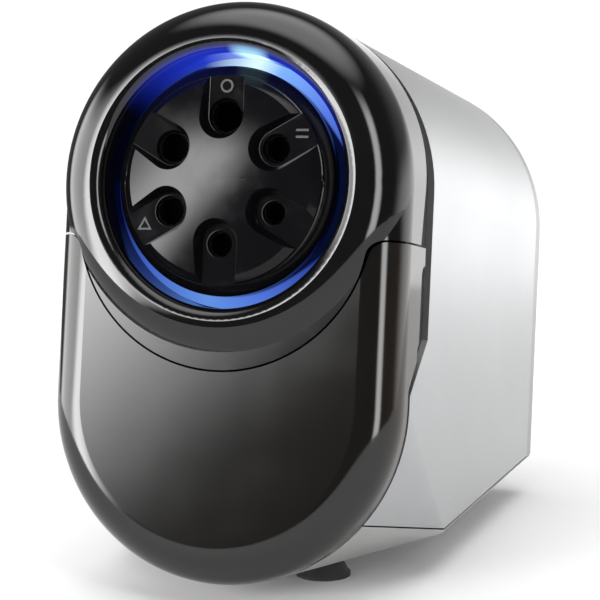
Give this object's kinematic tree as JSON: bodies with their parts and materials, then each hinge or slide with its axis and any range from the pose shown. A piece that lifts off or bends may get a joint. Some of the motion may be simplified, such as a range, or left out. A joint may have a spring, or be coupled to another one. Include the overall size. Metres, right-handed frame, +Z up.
{
  "type": "electric pencil sharpener",
  "caption": "Tall arched electric desktop sharpener with a turning hole-selector dial, a glowing ring round it, a pull-out shavings drawer and a geared cutter inside.",
  "frame": {"origin": "centre of the bounding box on the table plane, under the middle of the machine", "axes": "+Z up; +Y from the dial side to the rear cover; +X to the right seen from the front; the body axis slopes down to the rear by 10 degrees"},
  "size_m": [0.142, 0.2714, 0.2305],
  "materials": {
    "bezel_black": "high gloss",
    "dial_black": "high gloss",
    "smoke_plastic": "high gloss, smoked",
    "silver_panel": "satin",
    "silver_base": "satin",
    "cover_grey": "fine texture",
    "frame_black": "matt",
    "light_blue": "translucent, lit",
    "mark_grey": "matt",
    "foot_rubber": "matt",
    "steel": "brushed",
    "tool_steel": "ground",
    "plate_aluminium": "satin",
    "bush_brass": "satin",
    "gear_nylon": "satin",
    "board_green": "satin",
    "component_dark": "satin"
  },
  "bodies": {
    "housing": {"front_bezel": "bezel_black", "light_ring": "light_blue", "dial_seat": "frame_black", "dial_spindle": "steel", "click_spring": "steel", "led_lamp": "light_blue", "led_board": "board_green", "pencil_guide": "frame_black", "front_frame": "frame_black", "bezel_screws": "steel", "upper_housing": "silver_panel", "base_housing": "silver_base", "rubber_feet": "foot_rubber", "rear_cover": "cover_grey", "rear_posts": "frame_black", "rear_screws": "steel", "cord_gland": "foot_rubber", "chassis_deck": "frame_black", "ring_gear": "gear_nylon", "gearbox_front_plate": "plate_aluminium", "gearbox_rear_plate": "plate_aluminium", "gearbox_posts": "plate_aluminium", "gearbox_screws": "steel", "bearing_bushes": "bush_brass", "motor_can": "steel", "motor_end_cap": "component_dark", "power_board": "board_green", "transformer": "component_dark", "capacitors": "component_dark", "lever_pin": "steel", "start_switch": "component_dark", "interlock_switch": "component_dark"},
    "dial": {"selector_dial": "dial_black", "dial_marks": "mark_grey"},
    "drawer": {"shavings_drawer": "smoke_plastic"},
    "carrier": {"cutter_carrier": "tool_steel", "carrier_gear": "gear_nylon"},
    "cutter": {"spiral_cutter": "tool_steel", "cutter_pinion": "tool_steel"},
    "idler": {"idler_gears": "gear_nylon", "idler_shaft": "steel"},
    "rotor": {"motor_rotor": "tool_steel", "motor_pinion": "bush_brass", "cooling_fan": "gear_nylon"},
    "start_arm": {"start_lever": "gear_nylon"},
    "interlock": {"interlock_plunger": "gear_nylon"}
  },
  "joints": [
    {"name": "drawer_slide", "type": "slide", "parent": "housing", "child": "drawer", "axis": [0, -0.9848, 0.1736], "range_m": [0, 0.115]},
    {"name": "dial_spin", "type": "hinge", "parent": "housing", "child": "dial", "pos_m": [0, -0.11113, 0.16279], "axis": [0, 0.9848, -0.1736], "continuous": true},
    {"name": "carrier_spin", "type": "hinge", "parent": "housing", "child": "carrier", "pos_m": [0, -0.0084, 0.16955], "axis": [0, 0.9848, -0.1736], "continuous": true},
    {"name": "cutter_spin", "type": "hinge", "parent": "carrier", "child": "cutter", "pos_m": [0.011, -0.03204, 0.17372], "axis": [0, 0.9848, -0.1736], "continuous": true},
    {"name": "idler_spin", "type": "hinge", "parent": "housing", "child": "idler", "pos_m": [0, 0.00186, 0.14134], "axis": [0, 0.9848, -0.1736], "continuous": true},
    {"name": "rotor_spin", "type": "hinge", "parent": "housing", "child": "rotor", "pos_m": [0, 0.04201, 0.10989], "axis": [0, 0.9848, -0.1736], "continuous": true},
    {"name": "start_lever_swing", "type": "hinge", "parent": "housing", "child": "start_arm", "pos_m": [0.024, -0.05822, 0.18646], "axis": [0, 0.9848, -0.1736], "range_deg": [0, 20], "stiffness_Nm_per_rad": 0.01, "springref_deg": -8.59},
    {"name": "interlock_slide", "type": "slide", "parent": "housing", "child": "interlock", "axis": [0, -0.9848, 0.1736], "range_m": [0, 0.0045]}
  ],
  "couplings": [
    {"joint": "cutter_spin", "follows": "rotor_spin", "ratio": -0.375},
    {"joint": "idler_spin", "follows": "rotor_spin", "ratio": -0.33333},
    {"joint": "carrier_spin", "follows": "rotor_spin", "ratio": 0.1},
    {"joint": "interlock_slide", "follows": "drawer_slide", "ratio": 0.035}
  ]
}
